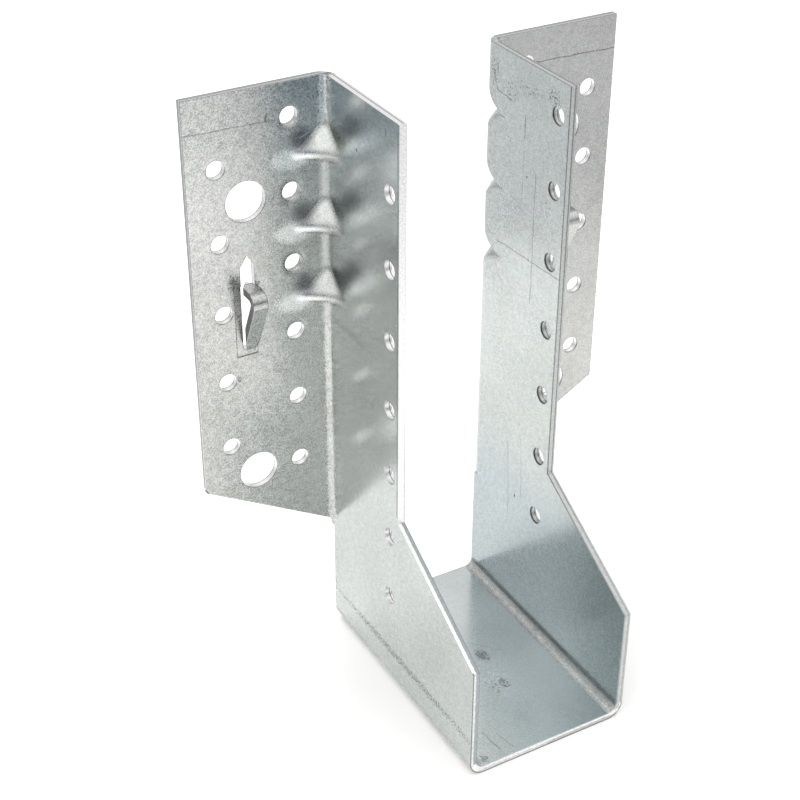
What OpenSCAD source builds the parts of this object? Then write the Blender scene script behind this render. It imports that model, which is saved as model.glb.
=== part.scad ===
// Joist hanger with outward flanges, pressed and folded from one blank of galvanised steel sheet.
// X runs across the width, +Y points back to the header, Z is up. The modules draw it with the header
// face at y = 0 and the underside of the seat at z = 0, and the finished hanger moves forward onto the
// middle of its footprint. The right-hand side is modelled and mirrored. Only the heights of the beads
// and of the joist nails differ: nails driven from the two sides miss each other inside the joist.

/* [Sheet] */
// Thickness of the steel sheet
sheet_t = 2; // [1.5:0.1:2.5]
// Inside radius of the bends between the seat and the side plates
seat_bend_r = 2.5; // [1.5:0.1:4]
// Inside radius of the bends between the side plates and the flanges
flange_bend_r = 2; // [1.5:0.1:4]

/* [Channel] */
// Clear width between the side plates
joist_w = 45; // [38:1:120]
// Height of the hanger
body_h = 170; // [160:1:260]
// Depth of the seat in front of the header face
seat_d = 77; // [60:1:110]
// Depth of the upper part of a side plate in front of the header face
upper_d = 38.5; // [38:0.5:50]
// Height of the upright front edge of a side plate, at the end of the seat
nose_h = 35.5; // [20:0.5:45]
// Height at which the sloping front edge reaches the upper part of the plate
knee_h = 58; // [50:0.5:75]
// Set-back of the seat and of the lower plate edges behind the header face
back_gap = 2; // [1:0.1:2.5]

/* [Flanges] */
// Width of a flange, from the outer face of its side plate
flange_w = 38; // [36:0.5:60]
// Height of the lower outer corner of a flange
foot_h = 58.5; // [52:0.5:62]
// Slope of the lower edge of a flange
foot_angle = 30; // [15:1:35]
// Radius of the lower outer corner of a flange
foot_corner_r = 2; // [0.5:0.1:4]
// Fillet where the lower edge of a flange runs into the side plate
foot_fillet_r = 4; // [1:0.1:6]

/* [Nail and bolt holes] */
// Diameter of a nail hole
nail_d = 5; // [3.5:0.1:5.5]
// Diameter of a bolt hole
bolt_d = 11; // [9:0.5:12]
// Pitch of the nail holes in a column
nail_pitch = 20; // [18:0.5:30]
// Drop of the highest nail holes below the top edge
nail_drop = 9; // [6:0.5:12]
// Inner nail column of a flange, from the outer face of the side plate
nail_in_x = 10; // [9:0.5:11]
// Outer nail column of a flange, from the outer face of the side plate
nail_out_x = 30; // [29:0.5:32]
// Least height of a header nail above the lower edge of the flange
header_nail_edge = 14; // [8:0.5:18]
// Distance of the joist nails behind the front edge of the upper plate
joist_nail_edge = 4.5; // [4:0.5:8]
// Least height of a joist nail above the underside of the seat
joist_nail_low = 30; // [15:1:60]
// Bolt holes of a flange, from the outer face of the side plate
bolt_x = 22.5; // [21:0.5:23]
// Drop of the upper bolt hole below the top edge
bolt_drop = 29; // [26:0.5:31]
// Height of the lower bolt hole above the lower outer corner of the flange
bolt_above_foot = 2.5; // [1.5:0.5:6]

/* [Pressed beads] */
// Beads pressed into each flange bend
bead_count = 3; // [0:1:3]
// Pitch of the beads
bead_pitch = 20; // [18:0.5:24]
// Drop of the highest bead fold of the right-hand bend below the top edge
bead_drop = 18; // [14:0.5:22]
// Height of the right-hand beads above the left-hand ones
bead_offset = 1.5; // [0:0.5:3]
// Radius of the nose of a bead across the bend
bead_r = 12; // [9:0.5:13]
// Depth by which the ends of a bead nose sink into the flat sheet
bead_sink = 0.2; // [0.1:0.05:0.5]
// Height of the hollow above the fold of a bead
bead_rise = 7; // [6:0.25:8]
// Height of the hollow below the fold of a bead
bead_fall = 6; // [5.5:0.25:7]
// Height above the fold at which the upper side leaves the middle of the sheet
bead_peak = 8.5; // [7.5:0.25:9]
// Depth below the fold at which the underside reaches the middle of the sheet
bead_under = 3.5; // [3.25:0.25:4]

/* [Prongs] */
// Width of a prong and of the slot that it is pressed out of
prong_w = 4; // [3:0.1:5]
// Middle of a prong, from the outer face of the side plate
prong_x = 23; // [20:0.5:23]
// Drop of the root of a prong below the top edge
prong_drop = 70.5; // [66:0.5:78]
// Length of a prong to its shoulders
prong_l = 23.7; // [22:0.1:26]
// Length of the point beyond the shoulders
prong_tip_l = 3; // [2:0.1:4]
// Length of the straight leg of a prong
prong_leg_l = 16.5; // [15.5:0.1:17.5]
// Lean of the leg out of the flange
prong_lean = 26; // [18:1:28]
// Inside radius of the fold in a prong
prong_fold_r = 1; // [0.8:0.1:1.5]
// Width of the strip that the press leaves beside and below a prong
press_strip_w = 1.9; // [1:0.1:3]
// Length of the strip beside the slot
press_strip_l = 18.5; // [12:0.5:21]
// Depth of the pressed strip
press_strip_d = 0.3; // [0.1:0.05:0.5]

/* [Hidden] */

// Flat sheet planes
plate_in = joist_w / 2;
plate_out = plate_in + sheet_t;
flange_edge = plate_out + flange_w;
seat_bend_out = seat_bend_r + sheet_t;
flange_bend_out = flange_bend_r + sheet_t;

// Lap between the channel and the flange sections, which share the side plates
lap = 6;
// Overshoot of a cutting shape past the face that it cuts
over = 1;
// Sink of a side into the shape that it runs onto, so that the two cross in a clean line
crossing = 0.005;

// Lower edge of a flange: its height at a distance x from the middle of the hanger
function foot_z(x) = foot_h - (flange_edge - x) * tan(foot_angle);
// Half of the angle between the lower edge and an upright edge
foot_half = (90 + foot_angle) / 2;

// Hole columns, from the middle of the hanger
nail_in = plate_out + nail_in_x;
nail_out = plate_out + nail_out_x;
bolt_at = plate_out + bolt_x;
prong_at = plate_out + prong_x;
// Joist nails, from the header face
joist_nail_y = upper_d - joist_nail_edge;
// Heights of the highest hole in the two staggered nail rows
row_top = body_h - nail_drop;
row_top_low = row_top - nail_pitch / 2;

// Number of holes that fit in a column between two heights
function column_count(top, low) = floor((top - low) / nail_pitch) + 1;

// Axis of a bead nose: the nose sinks a little below the flat faces at both ends
bead_axis = bead_r - bead_sink;
// Radius of the sharp fold behind the nose, from the bead axis
bead_fold_r = bead_r + sheet_t;
// Middle and back of the sheet at the middle of the bend, from the bead axis
bead_mid = (bead_axis - flange_bend_r) * sqrt(2) + flange_bend_r + sheet_t / 2;
bead_rim = bead_mid + sheet_t / 2 + crossing;
bead_reach = bead_mid * 2;
// Radius of a side of the given height that leaves the back of the bend upright and ends at the fold
bead_depth = bead_rim - bead_fold_r;
function bead_side_r(high) = (bead_depth * bead_depth + high * high) / (2 * bead_depth);

// Prong: mean radius and angle of its fold
prong_root = body_h - prong_drop;
prong_fold = prong_fold_r + sheet_t / 2;
prong_turn = 90 + prong_lean;
prong_fold_l = prong_fold * prong_turn * PI / 180;

// A drawing in x and z, drawn out along y from y0 to y1
module along_y(y0, y1) {
    translate([0, y1, 0])
        rotate([90, 0, 0])
            linear_extrude(height = y1 - y0)
                children();
}

// A drawing in y and z, drawn out along x from x0 to x1
module along_x(x0, x1) {
    translate([x0, 0, 0])
        rotate([90, 0, 90])
            linear_extrude(height = x1 - x0)
                children();
}

module mirror_pair() {
    children();
    mirror([1, 0, 0])
        children();
}

// A U of the given outer half width and bottom corner radius
module u_drawing(half_w, bottom, corner_r) {
    translate([-half_w, bottom + corner_r])
        square([2 * half_w, body_h + over]);
    translate([-half_w + corner_r, bottom])
        square([2 * (half_w - corner_r), 2 * corner_r]);
    for (side = [-1, 1])
        translate([side * (half_w - corner_r), bottom + corner_r])
            circle(r = corner_r, $fn = 64);
}

// Side outline of the channel in y and z
module side_outline() {
    join_z = foot_z(plate_out);
    polygon([
        [-seat_d, 0],
        [-back_gap, 0],
        [-back_gap, join_z],
        [-flange_bend_out, join_z],
        [-flange_bend_out, body_h],
        [-upper_d, body_h],
        [-upper_d, knee_h],
        [-seat_d, nose_h],
    ]);
}

// Seat, seat bends and side plates
module channel() {
    intersection() {
        along_y(-seat_d, -back_gap)
            difference() {
                u_drawing(plate_out, 0, seat_bend_out);
                u_drawing(plate_in, sheet_t, seat_bend_r);
            }
        along_x(-plate_out - over, plate_out + over)
            side_outline();
    }
}

// Kite between two edges that meet at a corner, and the circle that rounds it. The edges leave the
// corner upwards and along the lower edge of the flange.
module foot_kite(corner_r) {
    reach = corner_r / tan(foot_half);
    polygon([
        [0, 0],
        [0, reach],
        [-corner_r, reach],
        [-reach * cos(foot_angle), -reach * sin(foot_angle)],
    ]);
}

module foot_circle(corner_r, grow) {
    reach = corner_r / tan(foot_half);
    translate([-corner_r, reach])
        circle(r = corner_r + grow, $fn = 64);
}

// Front outline of the right-hand flange in x and z
module flange_outline() {
    difference() {
        polygon([
            [plate_in - over, foot_z(plate_in - over)],
            [flange_edge, foot_h],
            [flange_edge, body_h],
            [plate_in - over, body_h],
        ]);
        translate([flange_edge, foot_h])
            difference() {
                foot_kite(foot_corner_r);
                foot_circle(foot_corner_r, 0);
            }
    }
    // Fillet into the side plate: the same corner, turned half round
    translate([plate_out, foot_z(plate_out)])
        rotate(180)
            difference() {
                foot_kite(foot_fillet_r);
                foot_circle(foot_fillet_r, 0);
            }
}

// Right-hand flange, its bend and a lap of the side plate
module flange_section() {
    intersection() {
        linear_extrude(height = body_h) {
            translate([plate_in, -flange_bend_out - lap])
                square([sheet_t, lap]);
            translate([plate_out + flange_bend_r, -flange_bend_out])
                intersection() {
                    difference() {
                        circle(r = flange_bend_out, $fn = 64);
                        circle(r = flange_bend_r, $fn = 64);
                    }
                    translate([-flange_bend_out, 0])
                        square(flange_bend_out);
                }
            translate([plate_out + flange_bend_r, -sheet_t])
                square([flange_w - flange_bend_r, sheet_t]);
        }
        along_y(-flange_bend_out - lap, over)
            flange_outline();
    }
}

// Profile of a bead in radius and height, with its fold at height 0. The face of the bead lies toward
// its axis: a nose rolled round the fold, and two sides that run from it into the sheet.
module bead_face_profile() {
    root_x = bead_mid - bead_fold_r;
    translate([bead_fold_r, 0]) {
        for (root = [[root_x, bead_peak], [root_x, -bead_under]]) {
            turn = atan2(root.y, root.x) + sign(root.y) * acos(sheet_t / norm(root));
            polygon([
                [0, 0],
                (sheet_t - crossing) * [cos(turn), sin(turn)],
                root,
                [root_x, 0],
            ]);
        }
        circle(r = sheet_t, $fn = 48);
    }
}

// Profile of the hollow behind a bead: a round shoulder above the fold and one below
module bead_back_profile() {
    high_r = bead_side_r(bead_rise);
    low_r = bead_side_r(bead_fall);
    difference() {
        translate([bead_fold_r - over, -bead_fall])
            square([bead_reach - bead_fold_r + over, bead_fall + bead_rise]);
        translate([bead_rim - high_r, bead_rise])
            circle(r = high_r, $fn = 128);
        translate([bead_rim - low_r, -bead_fall])
            circle(r = low_r, $fn = 128);
    }
}

// A bead profile turned about the bead axis, through the quarter that faces the right-hand bend
module bead_turn(z) {
    translate([plate_out + bead_axis, -sheet_t - bead_axis, z])
        rotate(90)
            rotate_extrude(angle = 90, $fn = 96)
                children();
}

// Height of a bead fold
function bead_z(i, lower) = body_h - bead_drop - lower - i * bead_pitch;

// Added sheet of the beads, kept to the outer half of the sheet
module bead_faces(lower) {
    intersection() {
        for (i = [0:1:bead_count - 1])
            bead_turn(bead_z(i, lower))
                bead_face_profile();
        translate([plate_in + sheet_t / 2, -sheet_t - bead_axis, 0])
            cube([bead_axis + sheet_t, bead_axis + sheet_t / 2, body_h]);
    }
}

module bead_backs(lower) {
    for (i = [0:1:bead_count - 1])
        bead_turn(bead_z(i, lower))
            bead_back_profile();
}

// Slot that a prong is pressed out of, in x and z
module prong_slot() {
    polygon([
        [-prong_w / 2, 0],
        [prong_w / 2, 0],
        [prong_w / 2, prong_l],
        [0, prong_l + prong_tip_l],
        [-prong_w / 2, prong_l],
    ]);
}

// Shallow strip that the press leaves along the outer edge of the slot and round the root
module press_strip() {
    translate([prong_w / 2, 0])
        square([press_strip_w, press_strip_l]);
    translate([-prong_w / 2, -press_strip_w])
        square([prong_w + press_strip_w, press_strip_w]);
}

// Prong in y and z from the middle of its root: a leaning leg, a fold and a level point
module prong_side() {
    leg_y = -prong_leg_l * sin(prong_lean);
    leg_z = prong_leg_l * cos(prong_lean);
    fold_y = leg_y + prong_fold * cos(prong_lean);
    fold_z = leg_z + prong_fold * sin(prong_lean);
    half = sheet_t / 2;
    tip_l = prong_l + prong_tip_l - prong_leg_l - prong_fold_l;
    // Leg, carried down into the flange at its root
    polygon([
        [half * cos(prong_lean), half * sin(prong_lean)],
        [leg_y + half * cos(prong_lean), leg_z + half * sin(prong_lean)],
        [leg_y - half * cos(prong_lean), leg_z - half * sin(prong_lean)],
        [-half, half * (1 - sin(prong_lean)) / cos(prong_lean) - half],
        [-half, -half],
        [half, -half],
    ]);
    // Fold
    translate([fold_y, fold_z])
        intersection() {
            difference() {
                circle(r = prong_fold_r + sheet_t, $fn = 48);
                circle(r = prong_fold_r, $fn = 48);
            }
            rotate(90)
                polygon([
                    [0, 0],
                    [4 * prong_fold, 0],
                    [4 * prong_fold, 4 * prong_fold],
                    [4 * prong_fold * cos(prong_turn), 4 * prong_fold * sin(prong_turn)],
                ]);
        }
    translate([fold_y, fold_z + prong_fold_r])
        square([tip_l, sheet_t]);
}

// Plan of a prong in x and y, which cuts the point
module prong_plan() {
    tip_y = prong_l + prong_tip_l - prong_leg_l - prong_fold_l
        - prong_leg_l * sin(prong_lean) + prong_fold * cos(prong_lean);
    polygon([
        [-prong_w / 2, -prong_l],
        [prong_w / 2, -prong_l],
        [prong_w / 2, tip_y - prong_tip_l],
        [0, tip_y],
        [-prong_w / 2, tip_y - prong_tip_l],
    ]);
}

module prong() {
    translate([prong_at, -sheet_t / 2, prong_root])
        intersection() {
            along_x(-prong_w / 2, prong_w / 2)
                prong_side();
            translate([0, 0, -prong_l])
                linear_extrude(height = 3 * prong_l)
                    prong_plan();
        }
}

// A hole through the right-hand flange
module flange_hole(x, z, d) {
    translate([x, over, z])
        rotate([90, 0, 0])
            cylinder(d = d, h = sheet_t + 2 * over, $fn = 48);
}

// Everything that is cut from the right-hand flange and its bend
module flange_cuts() {
    for (i = [0:1:column_count(row_top, foot_z(nail_in) + header_nail_edge) - 1])
        flange_hole(nail_in, row_top - i * nail_pitch, nail_d);
    for (i = [0:1:column_count(row_top_low, foot_z(nail_out) + header_nail_edge) - 1])
        flange_hole(nail_out, row_top_low - i * nail_pitch, nail_d);
    flange_hole(bolt_at, body_h - bolt_drop, bolt_d);
    flange_hole(bolt_at, foot_h + bolt_above_foot, bolt_d);
    translate([prong_at, 0, prong_root]) {
        along_y(-sheet_t - over, over)
            prong_slot();
        along_y(-sheet_t - over, press_strip_d - sheet_t)
            press_strip();
    }
}

// A column of joist nails through the side plate whose lower x face is at x
module joist_nails(x, top) {
    for (i = [0:1:column_count(top, joist_nail_low) - 1])
        translate([x - over, -joist_nail_y, top - i * nail_pitch])
            rotate([0, 90, 0])
                cylinder(d = nail_d, h = sheet_t + 2 * over, $fn = 48);
}

module hanger() {
    color([0.72, 0.75, 0.75])
        translate([0, seat_d / 2, 0]) {
            difference() {
                union() {
                    channel();
                    mirror_pair()
                        flange_section();
                    bead_faces(0);
                    mirror([1, 0, 0])
                        bead_faces(bead_offset);
                }
                mirror_pair()
                    flange_cuts();
                bead_backs(0);
                mirror([1, 0, 0])
                    bead_backs(bead_offset);
                joist_nails(plate_in, row_top);
                joist_nails(-plate_out, row_top_low);
            }
            mirror_pair()
                prong();
        }
}

hanger();
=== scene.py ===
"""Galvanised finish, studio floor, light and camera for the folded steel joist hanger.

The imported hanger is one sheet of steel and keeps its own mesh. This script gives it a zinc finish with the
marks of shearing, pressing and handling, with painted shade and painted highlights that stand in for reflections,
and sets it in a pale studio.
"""

import logging
import math
from dataclasses import dataclass, field
from enum import Enum
from typing import Any

import bpy
from mathutils import Matrix, Vector

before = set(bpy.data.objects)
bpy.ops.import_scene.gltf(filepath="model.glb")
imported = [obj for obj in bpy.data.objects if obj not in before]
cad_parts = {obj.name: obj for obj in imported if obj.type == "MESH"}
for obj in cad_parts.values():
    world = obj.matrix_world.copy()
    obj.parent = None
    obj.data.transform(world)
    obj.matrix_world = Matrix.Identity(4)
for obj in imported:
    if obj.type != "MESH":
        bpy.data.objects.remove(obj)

LOG = logging.getLogger("joist_hanger")
MM = 0.001  # one millimetre in metres
TOUCH = 0.1  # millimetres off a face that still count as on it
CLEAR = 0.3  # millimetres that are well clear of a face
INSIDE = 0.5  # millimetres that are well inside an outer edge
SQUARE = 0.3  # a face whose normal has less than this along an axis stands square to it
ALONG = 0.7  # a face whose normal has more than this along an axis looks along it
FLAT = 0.9  # the same for the sheet's flat faces
Colour = tuple[float, float, float, float]
Point = tuple[float, float, float]
Span = tuple[float, float]
Socket = bpy.types.NodeSocket


class Graph:
    """Wires the nodes of one shader tree."""

    def __init__(self, tree: bpy.types.NodeTree) -> None:
        """Starts on a tree.

        Args:
            tree: The shader tree that the nodes go into.
        """
        self.tree = tree

    def add(self, kind: str, inputs: dict[Any, Any] | None = None, **settings: Any) -> bpy.types.Node:
        """Adds a node.

        Args:
            kind: Blender's name of the node type.
            inputs: Values or sockets for the node's inputs, by name or index.
            **settings: Properties of the node itself.

        Returns:
            The new node.
        """
        node = self.tree.nodes.new(kind)
        for name, value in settings.items():
            setattr(node, name, value)
        for name, value in (inputs or {}).items():
            self.feed(node.inputs[name], value)
        return node

    def feed(self, socket: Socket, value: Any) -> None:
        """Links a socket to an input, or sets the input's own value.

        Args:
            socket: The input.
            value: A socket or a plain value.
        """
        if isinstance(value, Socket):
            self.tree.links.new(value, socket)
        else:
            socket.default_value = value

    def math(self, operation: str, *values: Any) -> Socket:
        """Adds a Math node on up to three values and returns its result."""
        return self.add("ShaderNodeMath", dict(enumerate(values)), operation=operation).outputs[0]

    def vector(self, operation: str, *values: Any, result: str = "Vector") -> Socket:
        """Adds a Vector Math node on two vectors and returns its result."""
        return self.add("ShaderNodeVectorMath", dict(enumerate(values)), operation=operation).outputs[result]

    def scaled(self, vector: Any, factor: Any) -> Socket:
        """Multiplies a vector by a number."""
        return self.add("ShaderNodeVectorMath", {0: vector, "Scale": factor}, operation="SCALE").outputs[0]

    def parts(self, vector: Any) -> tuple[Socket, ...]:
        """Splits a vector into its three values."""
        return tuple(self.add("ShaderNodeSeparateXYZ", {0: vector}).outputs)

    def joined(self, x: Any = 0.0, y: Any = 0.0, z: Any = 0.0) -> Socket:
        """Joins three values into a vector."""
        return self.add("ShaderNodeCombineXYZ", {0: x, 1: y, 2: z}).outputs[0]

    def noise(self, vector: Any, scale: Any, detail: float = 2.0, roughness: float = 0.5) -> Socket:
        """Adds noise of a given scale and returns its value, about 0.5 on average."""
        inputs = {"Vector": vector, "Scale": scale, "Detail": detail, "Roughness": roughness}
        return self.add("ShaderNodeTexNoise", inputs).outputs["Fac"]

    def ramp(self, value: Any, low: Any, high: Any, at_low: Any = 0.0, at_high: Any = 1.0) -> Socket:
        """Maps a value smoothly from one range to another and holds it at the ends."""
        inputs = {"Value": value, "From Min": low, "From Max": high, "To Min": at_low, "To Max": at_high}
        return self.add("ShaderNodeMapRange", inputs, interpolation_type="SMOOTHSTEP").outputs["Result"]

    def over(self, value: Any, limit: float) -> Socket:
        """Gives 1 where a value is above a limit, otherwise 0."""
        return self.math("GREATER_THAN", value, limit)

    def under(self, value: Any, limit: float) -> Socket:
        """Gives 1 where a value is below a limit, otherwise 0."""
        return self.math("LESS_THAN", value, limit)

    def both(self, *masks: Any) -> Socket:
        """Multiplies masks together.

        Args:
            *masks: Sockets or numbers.

        Returns:
            Their product.
        """
        result = masks[0]
        for mask in masks[1:]:
            result = self.math("MULTIPLY", result, mask)
        return result

    def either(self, *masks: Any) -> Socket:
        """Takes the strongest of some masks.

        Args:
            *masks: Sockets or numbers.

        Returns:
            The greatest of them at each point.
        """
        result = masks[0]
        for mask in masks[1:]:
            result = self.math("MAXIMUM", result, mask)
        return result

    def inverse(self, mask: Any) -> Socket:
        """Takes a mask from 1."""
        return self.math("SUBTRACT", 1.0, mask)

    def centred(self, value: Any) -> Socket:
        """Shifts a value that runs from 0 to 1 so that it swings about 0."""
        return self.math("SUBTRACT", value, 0.5)

    def grey(self, value: Any) -> Socket:
        """Makes a neutral colour of a value."""
        return self.joined(value, value, value)

    def blend(self, amount: Any, a: Any, b: Any, mode: str = "MIX") -> Socket:
        """Blends two colours.

        Args:
            amount: The share of the second colour.
            a: The first colour.
            b: The second colour.
            mode: How they are blended.

        Returns:
            The blended colour.
        """
        node = self.add("ShaderNodeMix", data_type="RGBA", blend_type=mode)
        for index, value in ((0, amount), (6, a), (7, b)):
            self.feed(node.inputs[index], value)
        return node.outputs[2]

    def number(self, amount: Any, a: Any, b: Any) -> Socket:
        """Blends two numbers and returns the result."""
        return self.add("ShaderNodeMix", {0: amount, 2: a, 3: b}, data_type="FLOAT").outputs[0]


class GroupMaker(Graph):
    """Builds one shared node group with named sockets."""

    def __init__(self, name: str) -> None:
        """Starts a group.

        Args:
            name: The group's name.
        """
        super().__init__(bpy.data.node_groups.new(name, "ShaderNodeTree"))
        self.source = self.tree.nodes.new("NodeGroupInput")
        self.target = self.tree.nodes.new("NodeGroupOutput")

    def takes(self, name: str, kind: str = "Float", default: Any = None) -> Socket:
        """Makes a named input.

        Args:
            name: The input's name.
            kind: The end of Blender's name for the socket type.
            default: Its value where nothing is fed.

        Returns:
            The socket that it arrives at.
        """
        made = self.tree.interface.new_socket(name, in_out="INPUT", socket_type="NodeSocket" + kind)
        if default is not None:
            made.default_value = default
        return self.source.outputs[name]

    def gives(self, name: str, value: Socket, kind: str = "Float") -> None:
        """Makes a named output and feeds it."""
        self.tree.interface.new_socket(name, in_out="OUTPUT", socket_type="NodeSocket" + kind)
        self.feed(self.target.inputs[name], value)


@dataclass(frozen=True)
class HangerSizes:
    """Sizes of the folded sheet in millimetres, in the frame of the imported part."""

    sheet: float = 2.0
    height: float = 170.0
    seat_front: float = -38.5
    upper_front: float = 0.0
    header_face: float = 38.5
    plate_outer: float = 24.5
    flange_edge: float = 62.5
    seat_bend: float = 2.5
    flange_bend: float = 2.0
    crease_inner: float = 23.9
    crease_outer: float = 26.6
    knee: float = 58.0
    nails_above: float = 30.0
    prong_inner: float = 40.0
    prong_front: float = 20.0
    prong_reach: float = 8.0
    bead_top: float = 160.0
    bead_bottom: float = 102.0
    bead_reach: float = 13.5
    bead_fold: float = 110.5
    bead_pitch: float = 20.0

    @property
    def plate_inner(self) -> float:
        """Distance of a side plate's inner face from the middle."""
        return self.plate_outer - self.sheet

    @property
    def seat_flat(self) -> float:
        """Half the width of the flat part of the seat."""
        return self.plate_inner - self.seat_bend

    @property
    def seat_bend_top(self) -> float:
        """Height at which the seat bends end."""
        return self.sheet + self.seat_bend

    @property
    def flange_front(self) -> float:
        """Depth of a flange's front face."""
        return self.header_face - self.sheet

    @property
    def bend_front(self) -> float:
        """Depth at which the flange bend starts."""
        return self.header_face - self.sheet - self.flange_bend

    @property
    def flange_inner(self) -> float:
        """Distance from the middle at which a flange's flat part starts."""
        return self.plate_outer + self.flange_bend


class Face(Enum):
    """Faces of the folded sheet that carry marks of their own, with the layer that keeps them apart."""

    LEFT_PLATE = 100.0
    RIGHT_PLATE = 200.0
    FLANGES = 300.0
    SEAT = 400.0


@dataclass(frozen=True)
class Mark:
    """A fine line that a press, a die or a nail has left, or a band of painted shade, in millimetres on its face.
    """

    face: Face
    start: tuple[float, float]
    end: tuple[float, float]
    width: float = 0.22
    shade: float = 0.5


@dataclass(frozen=True)
class Smudge:
    """A soft patch of freckles, in millimetres on its face, that are bright where its shade is below 0."""

    face: Face
    middle: tuple[float, float]
    reach: tuple[float, float]
    shade: float = 0.5


MARKS = (
    Mark(Face.FLANGES, (-62.5, 161.3), (-36.5, 160.6), 0.22, 0.50),
    Mark(Face.FLANGES, (37.0, 161.3), (62.5, 160.7), 0.24, 0.70),
    Mark(Face.FLANGES, (-26.5, 156.6), (-31.5, 154.8), 0.16, -0.6),
    Mark(Face.FLANGES, (-40.6, 162.3), (-40.7, 160.8), 0.38, 0.75),
    Mark(Face.RIGHT_PLATE, (29.5, 116.6), (0.5, 117.8), 0.24, 0.50),
    Mark(Face.RIGHT_PLATE, (18.4, 156.0), (18.5, 150.0), 0.28, 0.65),
    Mark(Face.RIGHT_PLATE, (18.5, 146.0), (18.6, 134.0), 0.22, 0.30),
    Mark(Face.RIGHT_PLATE, (12.7, 142.5), (12.5, 106.0), 0.26, 0.45),
    Mark(Face.RIGHT_PLATE, (19.6, 57.8), (18.0, 33.0), 0.26, 0.36),
    Mark(Face.RIGHT_PLATE, (13.3, 61.5), (11.9, 42.0), 0.22, 0.30),
    Mark(Face.RIGHT_PLATE, (33.6, 162.5), (31.6, 158.4), 0.28, 0.60),
    Mark(Face.RIGHT_PLATE, (31.6, 158.4), (25.0, 157.8), 0.28, 0.60),
    Mark(Face.RIGHT_PLATE, (15.1, 41.4), (15.1, 41.0), 0.50, 1.0),
    Mark(Face.RIGHT_PLATE, (14.3, 117.4), (14.3, 117.2), 0.38, 0.9),
    Mark(Face.RIGHT_PLATE, (16.6, 140.0), (16.6, 139.8), 0.38, 0.9),
    # Painted shade: a soft dark band on the right plate's inner face just above the seat bend.
    Mark(Face.RIGHT_PLATE, (-37.5, 4.5), (35.0, 4.5), 1.40, 0.46),
    Mark(Face.LEFT_PLATE, (36.6, 15.6), (35.4, 13.8), 0.30, 0.50),
    Mark(Face.LEFT_PLATE, (0.55, 168.0), (0.55, 60.0), 0.55, 0.42),
    Mark(Face.LEFT_PLATE, (20.7, 156.1), (20.7, 155.9), 0.42, 0.9),
    Mark(Face.LEFT_PLATE, (30.0, 156.2), (22.5, 154.5), 0.20, 0.30),
    Mark(Face.LEFT_PLATE, (6.5, 166.6), (6.3, 165.6), 0.32, 0.7),
    Mark(Face.SEAT, (-13.9, -27.5), (-13.0, -35.6), 0.35, 0.45),
    Mark(Face.SEAT, (-10.6, -30.0), (-9.4, -36.4), 0.25, 0.35),
    Mark(Face.SEAT, (2.0, 6.0), (9.0, -2.0), 0.20, 0.25),
)

SMUDGES = (
    Smudge(Face.SEAT, (2.9, -1.0), (3.4, 5.0), 1.25),
    Smudge(Face.SEAT, (1.9, -13.9), (2.6, 4.2), 1.25),
    Smudge(Face.SEAT, (-1.5, -14.5), (4.5, 6.0), 0.80),
    Smudge(Face.SEAT, (1.3, -12.6), (7.5, 10.5), -1.30),
    Smudge(Face.SEAT, (-18.6, -36.4), (2.2, 2.6), 1.15),
    Smudge(Face.LEFT_PLATE, (-3.0, 12.0), (85.0, 2.7), 1.02),
    Smudge(Face.RIGHT_PLATE, (33.0, 163.0), (5.0, 8.0), 0.85),
    Smudge(Face.RIGHT_PLATE, (25.0, 160.0), (7.5, 6.0), 0.75),
    Smudge(Face.RIGHT_PLATE, (6.5, 165.0), (5.5, 5.0), 0.90),
    Smudge(Face.RIGHT_PLATE, (17.0, 163.0), (14.0, 4.5), 0.65),
    Smudge(Face.RIGHT_PLATE, (8.5, 136.0), (5.0, 6.0), 0.70),
    Smudge(Face.RIGHT_PLATE, (22.0, 128.0), (8.5, 9.0), 0.60),
    Smudge(Face.RIGHT_PLATE, (26.0, 84.0), (8.0, 26.0), 0.52),
    Smudge(Face.RIGHT_PLATE, (12.0, 98.0), (8.0, 18.0), 0.45),
    # Painted shade beside the left prong's slot: a painted shadow of the prong's tip to its right and painted
    # shade to its left.
    Smudge(Face.FLANGES, (-51.4, 119.6), (2.6, 4.6), 1.10),
    Smudge(Face.FLANGES, (-45.2, 117.6), (1.8, 2.6), 1.10),
    Smudge(Face.FLANGES, (-51.2, 91.0), (1.8, 1.8), 1.05),
    Smudge(Face.FLANGES, (44.0, 118.0), (3.4, 5.4), 0.95),
    Smudge(Face.FLANGES, (38.0, 148.0), (3.0, 8.0), 0.75),
)


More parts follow.
